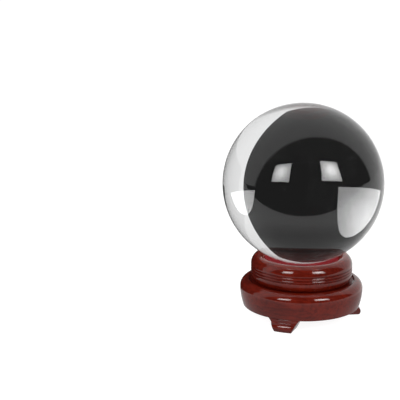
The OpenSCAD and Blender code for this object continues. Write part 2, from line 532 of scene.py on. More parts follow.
@dataclass
class Section:
    """The outline of a turned piece: points (radius, height) in millimetres, in order.

    Each point also says how many flats the piece has there (0 where it is round), the radius that its
    corners are turned down to, and a value that is above 0 where the piece is worn and below 0 in grooves
    and hollows, where shade is painted. The radius of a point with flats is half the width across them.
    """

    points: list[tuple[float, float]] = field(default_factory=list)
    sides: list[float] = field(default_factory=list)
    limit: list[float] = field(default_factory=list)
    wear_and_shade: list[float] = field(default_factory=list)

    def to(
        self, *points: tuple[float, float], sides: int = 0, limit: float = 1e3, wear_and_shade: float = 0.0
    ) -> "Section":
        """Runs the outline on through the given points.

        Args:
            points: the points, each (radius, height).
            sides: the number of flats there.
            limit: the radius that the corners are turned down to.
            wear_and_shade: how worn the outline is there when above 0; below 0, how much shade is painted
                there.

        Returns:
            The section itself.
        """
        for point in points:
            self.points.append(point)
            self.sides.append(float(sides))
            self.limit.append(limit)
            self.wear_and_shade.append(wear_and_shade)
        return self

    def arc(
        self, centre: tuple[float, float], radius: float, start: float, end: float,
        steps: int = 8, wear_and_shade: float = 0.0,
    ) -> "Section":
        """Runs the outline on along an arc.

        Args:
            centre: the arc's centre.
            radius: its radius.
            start: the angle of its first point, in degrees from straight outwards.
            end: the angle of its last point.
            steps: the number of stretches that it is made of.
            wear_and_shade: how worn it is at its middle when above 0, and below 0 how much shade is painted
                there; it fades out towards both ends.

        Returns:
            The section itself.
        """
        for i in range(steps + 1):
            share = i / steps
            angle = math.radians(start + (end - start) * share)
            point = (centre[0] + radius * math.cos(angle), centre[1] + radius * math.sin(angle))
            self.to(point, wear_and_shade=wear_and_shade * math.sin(math.pi * share))
        return self

    def run(self, end: tuple[float, float], step: float = 1.5) -> "Section":
        """Runs the outline straight on to a point, in short stretches.

        Args:
            end: the last point.
            step: about how long each stretch is.

        Returns:
            The section itself.
        """
        r0, z0 = self.points[-1]
        count = max(1, round(math.dist((r0, z0), end) / step))
        for i in range(1, count + 1):
            share = i / count
            self.to((r0 + (end[0] - r0) * share, z0 + (end[1] - z0) * share))
        return self

    def close(self) -> "Section":
        """Ends the outline at its first point, for a piece with a hole through it."""
        return self.to(self.points[0])

    def as_object(self, name: str) -> bpy.types.Object:
        """The section as a chain of edges with its attributes.

        Args:
            name: the object's name.

        Returns:
            The new object.
        """
        mesh = bpy.data.meshes.new(name)
        verts = [(r * MM, 0.0, z * MM) for r, z in self.points]
        mesh.from_pydata(verts, [(i, i + 1) for i in range(len(verts) - 1)], [])
        limit = [value * MM for value in self.limit]
        for label, values in (("sides", self.sides), ("limit", limit), ("wear_and_shade", self.wear_and_shade)):
            mesh.attributes.new(label, "FLOAT", "POINT").data.foreach_set("value", values)
        return add_object(name, mesh)


class GeoTree(Graph):
    """A Geometry Nodes tree with named inputs, which ends in Realize Instances and Set Material."""

    SOCKETS = {float: "NodeSocketFloat", int: "NodeSocketInt", bpy.types.Object: "NodeSocketObject"}

    def __init__(self, name: str, **inputs: type) -> None:
        """Makes the tree and its inputs.

        Args:
            name: the tree's name.
            inputs: the name and type of each input besides the geometry and the material.
        """
        tree = bpy.data.node_groups.new(name, "GeometryNodeTree")
        super().__init__(tree)
        self.identifiers: dict[str, str] = {}
        tree.interface.new_socket("Geometry", in_out="INPUT", socket_type="NodeSocketGeometry")
        tree.interface.new_socket("Geometry", in_out="OUTPUT", socket_type="NodeSocketGeometry")
        kinds = {key: self.SOCKETS[kind] for key, kind in inputs.items()}
        kinds["material"] = "NodeSocketMaterial"
        for key, kind in kinds.items():
            socket = tree.interface.new_socket(key, in_out="INPUT", socket_type=kind)
            self.identifiers[key] = socket.identifier
        self.given = self.node("NodeGroupInput")

    def finish(self, geometry: Signal) -> None:
        """Ends the tree.

        Args:
            geometry: what the tree has made.
        """
        real = self.node("GeometryNodeRealizeInstances", None, {"Geometry": geometry})["Geometry"]
        inputs = {"Geometry": real, "Material": self.given["material"]}
        dressed = self.node("GeometryNodeSetMaterial", None, inputs)["Geometry"]
        self.node("NodeGroupOutput", None, {0: dressed})

    def joined(self, *shapes: Signal) -> Signal:
        """Several geometries as one."""
        join = self.node("GeometryNodeJoinGeometry")
        for shape in shapes:
            self.tree.links.new(shape.socket, join.node.inputs[0])
        return join["Geometry"]

    def smoothed(self, geometry: Signal, sharp_over: float) -> Signal:
        """Smooth shading that breaks at sharp edges.

        Args:
            geometry: the mesh.
            sharp_over: the angle in degrees over which an edge is sharp.

        Returns:
            The shaded mesh.
        """
        smooth = self.node("GeometryNodeSetShadeSmooth", None, {"Geometry": geometry})["Geometry"]
        angle = self.node("GeometryNodeInputMeshEdgeAngle")["Unsigned Angle"]
        soft = angle.math("LESS_THAN", math.radians(sharp_over))
        inputs = {"Geometry": smooth, "Shade Smooth": soft}
        return self.node("GeometryNodeSetShadeSmooth", {"domain": "EDGE"}, inputs)["Geometry"]

    def apply(self, piece: bpy.types.Object, material: bpy.types.Material, **values: Any) -> None:
        """Runs the tree on an object and keeps the result as the object's plain mesh.

        Args:
            piece: the object.
            material: the finish that the tree sets.
            values: the tree's inputs by name.
        """
        modifier = piece.modifiers.new(self.tree.name, "NODES")
        modifier.node_group = self.tree
        for key, value in {**values, "material": material}.items():
            modifier[self.identifiers[key]] = value
        settle(piece)


def vector(graph: Graph, x: Any, y: Any, z: Any) -> Signal:
    """Three numbers or signals as one vector."""
    return graph.node("ShaderNodeCombineXYZ", None, {"X": x, "Y": y, "Z": z})["Vector"]


def lathe_tree() -> GeoTree:
    """The lathe: turns a section round the Z axis.

    Returns:
        The tree. Its inputs are the number of segments in a turn, and the turn in radians of the corners
        of stretches that have flats.
    """
    tree = GeoTree("Lathe", segments=int, corner_turn=float)
    section = tree.given["Geometry"]
    segments = tree.given["segments"]
    count = tree.node("GeometryNodeAttributeDomainSize", None, {"Geometry": section})["Point Count"]
    rows = segments + 1
    grid = tree.node("GeometryNodeMeshGrid", None, {"Vertices X": count, "Vertices Y": rows})["Mesh"]
    index = tree.node("GeometryNodeInputIndex")["Index"]
    column = (index / rows).math("FLOOR")
    angle = (index % rows) * math.tau / segments

    def sampled(kind: str, value: Signal) -> Signal:
        """The section's value at this column."""
        inputs = {"Geometry": section, "Value": value, "Index": column}
        return tree.node("GeometryNodeSampleIndex", {"data_type": kind}, inputs)["Value"]

    def named(label: str) -> Signal:
        """A named attribute of the section at this column."""
        attribute = tree.node("GeometryNodeInputNamedAttribute", {"data_type": "FLOAT"}, {"Name": label})
        return sampled("FLOAT", attribute["Attribute"])

    place = tree.node("GeometryNodeInputPosition")["Position"]
    point = tree.node("ShaderNodeSeparateXYZ", None, {"Vector": sampled("FLOAT_VECTOR", place)})
    sides = named("sides")
    step = math.tau / tree.math("MAXIMUM", sides, 1.0)
    across = (angle + tree.given["corner_turn"]) % step - step * 0.5
    flat = (point["X"] / across.math("COSINE")).math("MINIMUM", named("limit"))
    choice = {"Switch": sides.math("GREATER_THAN", 0.5), "False": point["X"], "True": flat}
    radius = tree.node("GeometryNodeSwitch", {"input_type": "FLOAT"}, choice)["Output"]
    turned = vector(tree, radius * angle.math("COSINE"), radius * angle.math("SINE"), point["Z"])
    # The stored attribute holds wear on crests and painted shade in grooves and hollows.
    worn = {"Geometry": grid, "Name": "wear_and_shade", "Value": named("wear_and_shade")}
    marked = tree.node("GeometryNodeStoreNamedAttribute", {"data_type": "FLOAT"}, worn)["Geometry"]
    moved = tree.node("GeometryNodeSetPosition", None, {"Geometry": marked, "Position": turned})["Geometry"]
    merged = {"Geometry": moved, "Distance": 1e-6}
    closed = tree.node("GeometryNodeMergeByDistance", None, merged)["Geometry"]
    tree.finish(tree.smoothed(closed, 38.0))
    return tree


def ring_pattern_tree() -> GeoTree:
    """Sets copies of a piece at even steps round the Z axis.

    Returns:
        The tree. Its inputs are the number of copies and the turn in radians of the first one.
    """
    tree = GeoTree("RingPattern", copies=int, first=float)
    points = tree.node("GeometryNodePoints", None, {"Count": tree.given["copies"]})["Geometry"]
    index = tree.node("GeometryNodeInputIndex")["Index"]
    turn = tree.given["first"] + index * math.tau / tree.given["copies"]
    spin = vector(tree, 0.0, 0.0, turn)
    inputs = {"Points": points, "Instance": tree.given["Geometry"], "Rotation": spin}
    tree.finish(tree.node("GeometryNodeInstanceOnPoints", None, inputs)["Instances"])
    return tree


def thread_tree() -> GeoTree:
    """Adds a helical thread ridge to a turned shank.

    Returns:
        The tree. Its inputs are the thread's turns, its outer radius, the depth of its ridge, and the
        height that it starts at and its length, in metres.
    """
    tree = GeoTree("Thread", turns=float, outer=float, depth=float, start=float, length=float)
    outer, depth = tree.given["outer"], tree.given["depth"]
    middle = outer - depth
    spiral = {
        "Resolution": 24, "Rotations": tree.given["turns"], "Start Radius": middle, "End Radius": middle,
        "Height": tree.given["length"],
    }
    helix = tree.node("GeometryNodeCurveSpiral", None, spiral)["Curve"]
    ridge = {"Resolution": 3, "Radius": depth}
    profile = tree.node("GeometryNodeCurvePrimitiveCircle", None, ridge)["Curve"]
    along = tree.node("GeometryNodeSplineParameter")["Factor"]
    fade = along.ramp(0.0, 0.1) * (1.0 - along.ramp(0.9, 1.0)) * 0.9 + 0.1
    faded = {"Curve": helix, "Radius": fade}
    tapered = tree.node("GeometryNodeSetCurveRadius", None, faded)["Curve"]
    swept = {"Curve": tapered, "Profile Curve": profile, "Scale": fade, "Fill Caps": True}
    wound = tree.node("GeometryNodeCurveToMesh", None, swept)["Mesh"]
    lift = {"Geometry": wound, "Translation": vector(tree, 0.0, 0.0, tree.given["start"])}
    lifted = tree.node("GeometryNodeTransform", None, lift)["Geometry"]
    tree.finish(tree.joined(tree.given["Geometry"], lifted))
    return tree


def nap_tree() -> GeoTree:
    """Grows short fibres on the upward faces of a felt pad, outside a given radius.

    Returns:
        The tree. Its inputs are the fibres per square metre, their length, the radius that they start
        at, both in metres, and a seed.
    """
    tree = GeoTree("Nap", density=float, length=float, clear_radius=float, seed=int)
    pad = tree.given["Geometry"]
    place = tree.node("GeometryNodeInputPosition")["Position"]
    flat = tree.node("ShaderNodeVectorMath", {"operation": "MULTIPLY"}, {0: place, 1: (1, 1, 0)})[0]
    reach = tree.node("ShaderNodeVectorMath", {"operation": "LENGTH"}, {0: flat})["Value"]
    normal = tree.node("GeometryNodeInputNormal")["Normal"]
    up = tree.node("ShaderNodeSeparateXYZ", None, {"Vector": normal})["Z"].math("GREATER_THAN", 0.3)
    grown = {
        "Mesh": pad, "Selection": up * reach.math("GREATER_THAN", tree.given["clear_radius"]),
        "Density": tree.given["density"], "Seed": tree.given["seed"],
    }
    roots = tree.node("GeometryNodeDistributePointsOnFaces", None, grown)
    tip = {
        "Vertices": 3, "Side Segments": 1, "Radius Top": 0.008 * MM, "Radius Bottom": 0.035 * MM,
        "Depth": tree.given["length"],
    }
    fibre = tree.node("GeometryNodeMeshCone", None, tip)["Mesh"]
    lean = {"data_type": "FLOAT_VECTOR"}
    spread = {"Min": (-0.9, -0.9, 0.0), "Max": (0.9, 0.9, 6.28), "Seed": tree.given["seed"]}
    tilt = tree.node("FunctionNodeRandomValue", lean, spread)["Value"]
    stature = {"Min": 0.5, "Max": 1.25, "Seed": tree.given["seed"] + 1}
    size = tree.node("FunctionNodeRandomValue", {"data_type": "FLOAT"}, stature)["Value"]
    inputs = {"Points": roots["Points"], "Instance": fibre, "Rotation": roots["Rotation"], "Scale": size}
    standing = tree.node("GeometryNodeInstanceOnPoints", None, inputs)["Instances"]
    leaning = {"Instances": standing, "Rotation": tilt}
    leaned = tree.node("GeometryNodeRotateInstances", None, leaning)["Instances"]
    tree.finish(tree.joined(pad, leaned))
    return tree


# ---- Mesh helpers -----------------------------------------------------------------------------------


def add_object(name: str, mesh: bpy.types.Mesh) -> bpy.types.Object:
    """Puts a mesh in the scene as an object at the origin.

    Args:
        name: the object's name.
        mesh: its mesh.

    Returns:
        The new object.
    """
    piece = bpy.data.objects.new(name, mesh)
    bpy.context.scene.collection.objects.link(piece)
    return piece


def settle(piece: bpy.types.Object) -> None:
    """Turns what an object's modifiers make into its plain mesh, with its faces outwards.

    Args:
        piece: the object.
    """
    depsgraph = bpy.context.evaluated_depsgraph_get()
    evaluated = piece.evaluated_get(depsgraph)
    mesh = bpy.data.meshes.new_from_object(evaluated, preserve_all_data_layers=True, depsgraph=depsgraph)
    piece.modifiers.clear()
    piece.data = mesh
    mesh.name = piece.name
    face_outwards(mesh)


def face_outwards(mesh: bpy.types.Mesh) -> None:
    """Recalculates the normals of closed shells."""
    shell = bmesh.new()
    shell.from_mesh(mesh)
    bmesh.ops.recalc_face_normals(shell, faces=shell.faces)
    shell.to_mesh(mesh)
    shell.free()


def cut(piece: bpy.types.Object, cutters: Sequence[bpy.types.Object]) -> None:
    """Cuts other objects' shapes out of a piece, and removes those objects.

    Args:
        piece: the piece.
        cutters: the closed shapes to take away.
    """
    for cutter in cutters:
        modifier = piece.modifiers.new("cut", "BOOLEAN")
        modifier.operation = "DIFFERENCE"
        modifier.solver = "EXACT"
        modifier.object = cutter
    settle(piece)
    for cutter in cutters:
        bpy.data.objects.remove(cutter)


def soften(piece: bpy.types.Object, width: float, segments: int = 3) -> None:
    """Rounds a piece's sharp edges.

    Args:
        piece: the piece.
        width: the width of the rounding, in millimetres.
        segments: the number of stretches across it.
    """
    bevel = piece.modifiers.new("soften", "BEVEL")
    bevel.width = width * MM
    bevel.segments = segments
    bevel.limit_method = "ANGLE"
    bevel.angle_limit = math.radians(28)
    bevel.harden_normals = False
    settle(piece)
    piece.data.polygons.foreach_set("use_smooth", [True] * len(piece.data.polygons))
    piece.data.set_sharp_from_angle(angle=math.radians(38))


def block(name: str, low: Sequence[float], high: Sequence[float]) -> bpy.types.Object:
    """A box between two corners, in millimetres, used as a cutter."""
    mesh = bpy.data.meshes.new(name)
    shell = bmesh.new()
    bmesh.ops.create_cube(shell, size=1.0)
    middle = [(a + b) / 2 * MM for a, b in zip(low, high)]
    size = [(b - a) * MM for a, b in zip(low, high)]
    shell.transform(Matrix.Translation(middle) @ Matrix.Diagonal((*size, 1.0)))
    shell.to_mesh(mesh)
    shell.free()
    return add_object(name, mesh)


def span(node: str) -> tuple[float, float, float]:
    """A node's largest radius or half width, its lowest and its highest point, in millimetres."""
    low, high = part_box(node)
    return (high.x - low.x) / 2 / MM, low.z / MM, high.z / MM


@dataclass
class Workshop:
    """The tools and finishes that all pieces share."""

    finishes: Finishes = field(default_factory=Finishes)
    lathe: GeoTree = field(default_factory=lathe_tree)
    ring_pattern: GeoTree = field(default_factory=ring_pattern_tree)
    thread: GeoTree = field(default_factory=thread_tree)
    nap: GeoTree = field(default_factory=nap_tree)

    def turn(
        self, name: str, section: Section, slot: Slot, segments: int = 96, corner_turn: float = 0.0
    ) -> bpy.types.Object:
        """Turns a section into a piece.

        Args:
            name: the piece's name.
            section: its outline.
            slot: its finish.
            segments: the number of segments in a turn.
            corner_turn: the turn of its corners in radians, where it has flats.

        Returns:
            The piece.
        """
        piece = section.as_object(name)
        self.lathe.apply(piece, self.finishes.get(slot), segments=segments, corner_turn=corner_turn)
        return piece

    def fit(self, piece: bpy.types.Object, body: Body, slot: Slot, *nodes: str) -> None:
        """Puts a finished piece on its body in the place of its CAD nodes.

        Args:
            piece: the piece.
            body: the body that it moves with.
            slot: the record's slot for its finish; not used.
            nodes: the CAD nodes that it stands for.
        """
        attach(piece, body.value)
        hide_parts(*nodes)
        LOG.info("%s: %d faces on %s", piece.name, len(piece.data.polygons), body.value)


# ---- The ball and its seat --------------------------------------------------------------------------


@dataclass
class CrystalSphere:
    """The clear glass ball."""

    segments: int = 320
    rings: int = 160

    def build(self, shop: Workshop) -> None:
        """Turns the ball."""
        radius, bottom, _ = span("crystal_ball")
        centre = (0.0, bottom + radius)
        outline = Section().to((0.0, bottom))
        outline.arc(centre, radius, -90 + 180 / self.rings, 90 - 180 / self.rings, self.rings - 2)
        outline.to((0.0, bottom + 2 * radius))
        ball = shop.turn("crystal_sphere", outline, Slot.CRYSTAL, self.segments)
        ball.visible_shadow = False
        shop.fit(ball, Body.BALL, Slot.CRYSTAL, "crystal_ball")


@dataclass
class FeltSeat:
    """The felt pad that lines the seat, with its nap."""

    thickness: float = 1.2
    seat_radius: float = 20.0
    ball_gap: float = 0.3
    fibre: float = 0.55
    density: float = 2.6e6

    def top(self, outer: float, edge_z: float, drop: float) -> Section:
        """The upper outline from the axis out to the edge, lowered by a drop."""
        ball_r, ball_low, _ = span("crystal_ball")
        hollow = ball_r + self.ball_gap
        centre = (0.0, ball_low + ball_r - drop)
        reach = math.degrees(math.asin(self.seat_radius / hollow))
        line = Section().to((0.0, centre[1] - hollow))
        line.arc(centre, hollow, -90 + reach / 12, -90 + reach, 11)
        return line.run((outer, edge_z - drop), 1.2)

    def build(self, shop: Workshop) -> None:
        """Turns the pad and grows its nap."""
        outer, _, edge_z = span("seat_lining")
        pad = self.top(outer, edge_z, 0.0)
        under = self.top(outer, edge_z, self.thickness)
        for point in reversed(under.points):
            pad.to(point)
        felt = shop.turn("felt_seat", pad, Slot.FELT, 144)
        shop.nap.apply(
            felt, shop.finishes.get(Slot.FELT), density=self.density, length=self.fibre * MM,
            clear_radius=(self.seat_radius + 2.5) * MM, seed=7,
        )
        shop.fit(felt, Body.TURNTABLE, Slot.FELT, "seat_lining")


@dataclass
class SeatRing:
    """The upper tier: a top roll, three grooves with two beads between, and an undercut bottom."""

    roll_r: float = 9.8
    belly_z: float = 51.1
    crest_r: float = 6.5
    groove_r: float = 0.55
    bead_r: float = 1.2
    groove_z: tuple[float, float, float] = (50.2, 47.3, 44.5)
    side_inset: float = 0.15
    under_drop: float = 1.4
    foot_r: float = 45.3
    felt_r: float = 34.6
    felt_t: float = 1.2
    bolt_seat_z: float = 47.7
    head_bore: float = 7.2
    bore: float = 3.2
    neck: float = 3.1
    neck_h: float = 3.4
    segments: int = 192

    def outside(self, radius: float, low: float, top: float) -> Section:
        """The outline from the underside's edge up and over the crest to the felt's recess.

        Args:
            radius: the ring's largest radius.
            low: the height of its underside.
            top: the height of its crest.

        Returns:
            The open outline.
        """
        side = radius - self.side_inset
        under_z = self.groove_z[2] - self.under_drop
        inward = side - self.foot_r
        drop = under_z - low
        curve_r = (inward ** 2 + drop ** 2) / (2 * inward)
        sweep = math.degrees(math.asin(drop / curve_r))
        line = Section().to((self.foot_r - 0.35, low))
        line.arc((side - curve_r, under_z), curve_r, -sweep, 0.0, 10, wear_and_shade=0.35)
        self.grooves(line, radius, side)
        roll = (radius - self.roll_r, self.belly_z)
        gap = self.roll_r - self.crest_r
        turn = math.degrees(math.asin((top - self.crest_r - self.belly_z) / gap))
        crest = (roll[0] + gap * math.cos(math.radians(turn)), top - self.crest_r)
        line.arc(roll, self.roll_r, 0.0, turn, 12)
        inner = math.degrees(math.acos((self.felt_r - crest[0]) / self.crest_r))
        line.arc(crest, self.crest_r, turn + 3, inner - 4, 22, wear_and_shade=0.45)
        return line

    def grooves(self, line: Section, radius: float, side: float) -> None:
        """Adds the three grooves from the lowest up, with a bead over each of the lower two."""
        for place, z in enumerate(reversed(self.groove_z)):
            # Painted shade: each groove is marked below 0, which darkens it and cuts its gloss.
            line.arc((radius, z), self.groove_r, -105, -255, 6, wear_and_shade=-1.6)
            if place < 2:
                above = self.groove_z[1 - place]
                bead = (radius - self.bead_r, (z + above) / 2)
                line.arc(bead, self.bead_r, -38, 38, 8, wear_and_shade=0.5)

    def inside(self, line: Section, low: float, edge_z: float) -> None:
        """Runs the outline down the felt's recess and back out under the ring."""
        floor = FeltSeat(thickness=self.felt_t).top(self.felt_r, edge_z, self.felt_t)
        line.to((self.felt_r, line.points[-1][1] - 0.4))
        for r, z in reversed(floor.points):
            if r > self.head_bore:
                line.to((r, z))
        shelf = line.points[-1][1]
        line.to((self.head_bore, shelf), (self.head_bore, self.bolt_seat_z))
        line.to((self.neck, self.bolt_seat_z), (self.neck, self.bolt_seat_z - self.neck_h), sides=4)
        race_r, _, race_top = span("upper_race")
        line.to((self.bore, self.bolt_seat_z - self.neck_h), (self.bore, race_top))
        line.to((race_r, race_top), (race_r, low + 0.3), (race_r + 0.3, low))
        line.run((self.foot_r - 0.35, low), 4.0)

    def build(self, shop: Workshop) -> None:
        """Turns the ring."""
        radius, low, top = span("seat_ring")
        edge_z = span("seat_lining")[2]
        line = self.outside(radius, low, top)
        self.inside(line, low, edge_z)
        ring = shop.turn("turned_seat_ring", line, Slot.WOOD, self.segments, math.pi / 4)
        shop.fit(ring, Body.TURNTABLE, Slot.WOOD, "seat_ring")


# ---- The plinth and its feet ------------------------------------------------------------------------


@dataclass
class Plinth:
    """The lower tier: a raised rim, a rounded shoulder and a bowed wall."""

    shoulder_r: float = 7.5
    wall_r: float = 54.0
    edge_r: float = 0.8
    flat_top: float = 35.7
    rim_run: tuple[float, float] = (2.2, 0.4)
    gap_r: float = 44.0
    bush_r: float = 4.5
    nut_bore_r: float = 9.0
    nut_bore_z: float = 21.0
    segments: int = 192

    def build(self, shop: Workshop) -> None:
        """Turns the plinth."""
        radius, low, rim = span("plinth")
        shoulder = (radius - self.shoulder_r, rim - self.shoulder_r)
        wall = (radius - self.wall_r, shoulder[1])
        edge_z = low + self.edge_r
        edge_angle = -math.degrees(math.asin((wall[1] - edge_z) / self.wall_r))
        edge_out = wall[0] + self.wall_r * math.cos(math.radians(edge_angle))
        edge = (edge_out - self.edge_r, edge_z)
        line = Section().to((edge[0], low))
        line.arc(edge, self.edge_r, -75, edge_angle, 6, wear_and_shade=0.9)
        line.arc(wall, self.wall_r, edge_angle + 1, -1.0, 16)
        line.arc(shoulder, self.shoulder_r, 0.0, 90.0, 18, wear_and_shade=0.3)
        line.arc((shoulder[0] - 0.05, rim - 0.35), 0.35, 95, 140, 4, wear_and_shade=0.6)
        # Painted shade under the ring: the rim's inner slope and the flat are marked below 0, so they show
        # a darker tone and less reflection.
        line.to((shoulder[0] - self.rim_run[0], self.flat_top + 0.05), wear_and_shade=-0.9)
        step_foot = (shoulder[0] - self.rim_run[0] - 0.5, self.flat_top)
        line.to(step_foot, (self.gap_r, self.flat_top), wear_and_shade=-0.9)
        race_r, race_low, _ = span("lower_race")
        line.run((race_r + 0.3, self.flat_top), 3.0)
        line.to((race_r, self.flat_top - 0.3), (race_r, race_low), (self.bush_r, race_low))
        line.to((self.bush_r, self.nut_bore_z), (self.nut_bore_r, self.nut_bore_z))
        line.to((self.nut_bore_r, low + 0.4), (self.nut_bore_r + 0.4, low))
        line.run((edge[0], low), 3.0)
        plinth = shop.turn("turned_plinth", line, Slot.WOOD, self.segments)
        pilots = [Foot(turn).screw_hole(0.0) for turn in Direction]
        cut(plinth, pilots)
        shop.fit(plinth, Body.BASE, Slot.WOOD, "plinth")


@dataclass
class Foot:
    """One bracket foot, wide under the plinth and narrow at the sole, with a rounded toe."""

    direction: Direction
    inner: float = 38.0
    face: float = 54.3
    toe_bulge: float = 5.5
    toe_z: float = 3.4
    widths: tuple[float, float, float] = (29.8, 24.2, 16.2)
    ledge_z: float = 8.2
    screw_at: float = 47.0
    head_r: float = 3.4
    shank_r: float = 1.75
    sink: float = 0.8
    columns: int = 16

    def half_width(self, z: float, height: float) -> float:
        """Half the foot's width at a height."""
        top, ledge, sole = self.widths
        if z > self.ledge_z:
            return (ledge + (top - ledge) * (z - self.ledge_z) / (height - self.ledge_z)) / 2
        return (sole + (ledge - sole) * z / self.ledge_z) / 2

    def outline(self, height: float, toe: float) -> list[tuple[float, float]]:
        """The foot's section, round from the inner edge of the sole.

        Args:
            height: the foot's height.
            toe: its largest radius.

        Returns:
            Points (radius, height), out along the sole, up the toe and back along the top.
        """
        centre = (toe - self.toe_bulge, self.toe_z)
        start = -math.degrees(math.asin(self.toe_z / self.toe_bulge))
        end = math.degrees(math.acos((self.face - centre[0]) / self.toe_bulge))
        bulge = Section().arc(centre, self.toe_bulge, start, end, 12).points
        rise = [(self.face, self.ledge_z), (self.face, height)]
        rise = [point for point in rise if point[1] > bulge[-1][1] + 0.05]
        return [(self.inner, 0.0), *bulge, *rise, (self.inner, height), (self.inner, self.ledge_z)]

    def shell(self, height: float, toe: float) -> bpy.types.Object:
        """The plain solid foot, swept across the section and turned to its place."""
        outline = self.outline(height, toe)
        mesh = bpy.data.meshes.new(f"carved_foot_{self.direction.word}")
        shell = bmesh.new()
        rows = []
        for column in range(self.columns + 1):
            share = 2 * column / self.columns - 1
            row = []
            for r, z in outline:
                x = share * self.half_width(z, height)
                row.append(shell.verts.new((x * MM, -math.sqrt(r * r - x * x) * MM, z * MM)))
            rows.append(row)
        count = len(outline)
        for near, far in zip(rows, rows[1:]):
            for i in range(count):
                after = (i + 1) % count
                shell.faces.new((near[i], near[after], far[after], far[i]))
        for row in (rows[0], rows[-1]):
            self.cheek(shell, row, outline)
        bmesh.ops.recalc_face_normals(shell, faces=shell.faces)
        turn = Matrix.Rotation(math.radians(self.direction.value), 4, "Z")
        shell.transform(turn)
        shell.to_mesh(mesh)
        shell.free()
        return add_object(mesh.name, mesh)

    def cheek(self, shell: bmesh.types.BMesh, row: list, outline: list[tuple[float, float]]) -> None:
        """Closes one side of the foot with two flat faces that meet at the ledge."""
        at_ledge = min(
            (i for i in range(len(row)) if outline[i][0] > self.inner),
            key=lambda i: abs(outline[i][1] - self.ledge_z),
        )
        shell.faces.new(row[: at_ledge + 1] + row[-1:])
        shell.faces.new(row[at_ledge:])

    def screw_hole(self, grow: float) -> bpy.types.Object:
        """The hole for the foot's screw, from under the sole to its end.

        Args:
            grow: how much wider than the screw it is, in millimetres.

        Returns:
            A closed shape at the foot's place.
        """
        mesh = bpy.data.meshes.new("hole")
        shell = bmesh.new()
        head, shank = self.head_r + grow, self.shank_r + grow
        steps = [(head, -2.0), (head, self.sink), (shank, self.sink + 2.2), (shank, 18.8), (0.4, 22.9)]
        rings = []
        for r, z in steps:
            circle = [
                shell.verts.new((
                    r * math.cos(a) * MM, (r * math.sin(a) - self.screw_at) * MM, z * MM
                ))
                for a in [math.tau * k / 32 for k in range(32)]
            ]
            rings.append(circle)
        for low, high in zip(rings, rings[1:]):
            for k in range(32):
                n = (k + 1) % 32
                shell.faces.new((low[k], low[n], high[n], high[k]))
        shell.faces.new(rings[0])
        shell.faces.new(rings[-1])
        bmesh.ops.recalc_face_normals(shell, faces=shell.faces)
        shell.transform(Matrix.Rotation(math.radians(self.direction.value), 4, "Z"))
        shell.to_mesh(mesh)
        shell.free()
        return add_object("hole", mesh)

    def build(self, shop: Workshop) -> None:
        """Carves the foot."""
        node = f"foot_{self.direction.word}"
        front_low, front_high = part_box("foot_front")
        height = front_high.z / MM
        toe = -front_low.y / MM
        foot = self.shell(height, toe)
        soften(foot, 0.5)
        cut(foot, [self.screw_hole(0.05)])
        foot.data.materials.clear()
        foot.data.materials.append(shop.finishes.get(Slot.WOOD))
        shop.fit(foot, Body.BASE, Slot.WOOD, node)


@dataclass
class FootScrews:
    """The three countersunk wood screws, alike and at even steps."""

    head_r: float = 3.4
    shank_r: float = 1.75
    core_r: float = 1.25
    sink: float = 0.8
    head_h: float = 2.2
    smooth_to: float = 7.0
    length: float = 22.0
    pitch: float = 1.4
    reach: float = 47.0

    def build(self, shop: Workshop) -> None:
        """Makes one screw, then sets it at each foot."""
        z0 = self.sink
        end = z0 + self.length
        line = Section().to((0.0, z0)).to((self.head_r - 0.25, z0), wear_and_shade=0.5)
        line.to((self.head_r, z0 + 0.2), wear_and_shade=1.0)
        line.to((self.shank_r, z0 + self.head_h), (self.shank_r, self.smooth_to))
        line.run((self.core_r, self.smooth_to + 1.0), 0.5).run((self.core_r, end - 4.0), 2.0)
        line.to((0.35, end - 0.3), (0.0, end))
        screw = shop.turn("foot_screws", line, Slot.SCREW, 48)
        brass = shop.finishes.get(Slot.SCREW)
        arms = [
            block("recess", (-1.7, -0.4, -1.0), (1.7, 0.4, z0 + 1.3)),
            block("recess", (-0.4, -1.7, -1.0), (0.4, 1.7, z0 + 1.3)),
        ]
        cut(screw, arms)
        run = end - 4.6 - self.smooth_to - 0.8
        shop.thread.apply(
            screw, brass, turns=run / self.pitch, outer=self.shank_r * MM, depth=0.35 * MM,
            start=(self.smooth_to + 0.8) * MM, length=run * MM,
        )
        screw.data.transform(Matrix.Translation((0.0, -self.reach * MM, 0.0)))
        shop.ring_pattern.apply(screw, brass, copies=len(Direction), first=0.0)
        nodes = [f"foot_screw_{turn.word}" for turn in Direction]
        shop.fit(screw, Body.BASE, Slot.SCREW, *nodes)


# ---- The pivot --------------------------------------------------------------------------------------


